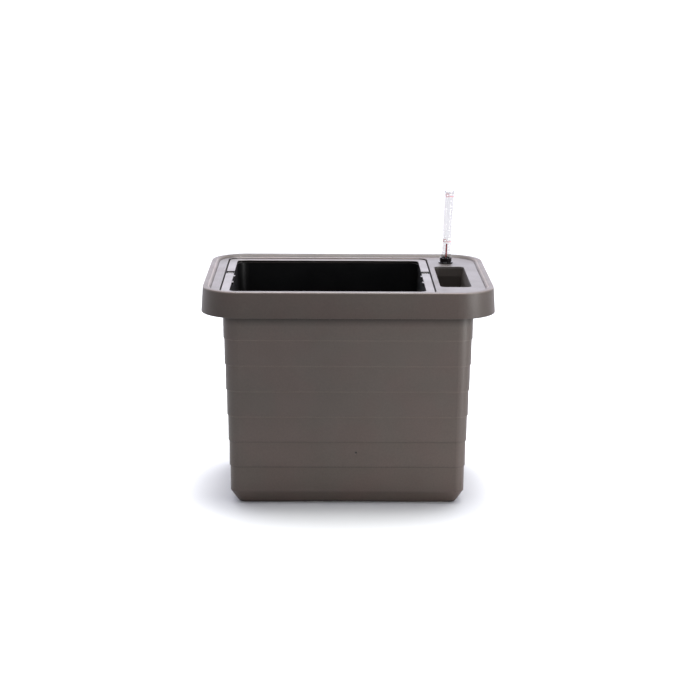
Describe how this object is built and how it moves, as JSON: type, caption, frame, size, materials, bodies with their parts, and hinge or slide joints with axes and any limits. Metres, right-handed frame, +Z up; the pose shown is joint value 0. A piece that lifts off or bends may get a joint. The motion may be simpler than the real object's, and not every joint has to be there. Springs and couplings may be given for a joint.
{
  "type": "self watering planter",
  "caption": "Rectangular banded planter with a deep rim: a lift-out liner with folding handles hangs over a water reservoir, beside a filler chute and a float level gauge.",
  "frame": {"origin": "centre of the pot's footprint, on the surface it stands on", "axes": "+Z up, -Y to the front (the long side that the filler chute's right-hand end is seen from), +X to the side with the filler chute and the level gauge"},
  "size_m": [0.3998, 0.2998, 0.4104],
  "materials": {
    "pot_plastic": "fine-textured warm grey-brown",
    "deck_plastic": "fine-textured warm grey-brown",
    "handle_plastic": "satin warm grey-brown",
    "liner_plastic": "black",
    "collar_plastic": "glossy black",
    "plug_rubber": "black",
    "pin_steel": "bright",
    "clear_tube": "clear moulded plastic",
    "mark_ink": "printed red",
    "float_foam": "white foam",
    "rod_red": "translucent red"
  },
  "bodies": {
    "planter": {"outer_pot": "pot_plastic"},
    "plug": {"drain_plug": "plug_rubber"},
    "deck": {"top_frame": "deck_plastic", "filler_chute": "deck_plastic", "indicator_collar": "collar_plastic"},
    "liner": {"liner_pot": "liner_plastic", "wick_basket_left": "liner_plastic", "wick_basket_right": "liner_plastic", "handle_pin_left": "pin_steel", "handle_pin_right": "pin_steel"},
    "front_bail": {"front_handle": "handle_plastic"},
    "rear_bail": {"rear_handle": "handle_plastic"},
    "gauge": {"sight_tube": "clear_tube", "tube_cap": "clear_tube", "level_marks": "mark_ink", "guide_tube": "collar_plastic", "tube_foot": "collar_plastic"},
    "float": {"float_body": "float_foam", "float_rod": "rod_red"}
  },
  "joints": [
    {"name": "plug_pull", "type": "slide", "parent": "planter", "child": "plug", "axis": [0, 0, 1], "range_m": [0, 0.03]},
    {"name": "deck_lift", "type": "slide", "parent": "planter", "child": "deck", "axis": [0, 0, 1], "range_m": [0, 0.31]},
    {"name": "liner_lift", "type": "slide", "parent": "deck", "child": "liner", "axis": [0, 0, 1], "range_m": [0, 0.31]},
    {"name": "front_handle_swing", "type": "hinge", "parent": "liner", "child": "front_bail", "pos_m": [-0.0278, 0.021, 0.30045], "axis": [-1, 0, 0], "range_deg": [0, 75]},
    {"name": "rear_handle_swing", "type": "hinge", "parent": "liner", "child": "rear_bail", "pos_m": [-0.0278, 0.021, 0.30045], "axis": [1, 0, 0], "range_deg": [0, 75]},
    {"name": "gauge_lift", "type": "slide", "parent": "deck", "child": "gauge", "axis": [0.0358, 0, 0.9994], "range_m": [0, 0.31]},
    {"name": "float_rise", "type": "slide", "parent": "gauge", "child": "float", "axis": [0.0358, 0, 0.9994], "range_m": [0, 0.071]}
  ]
}
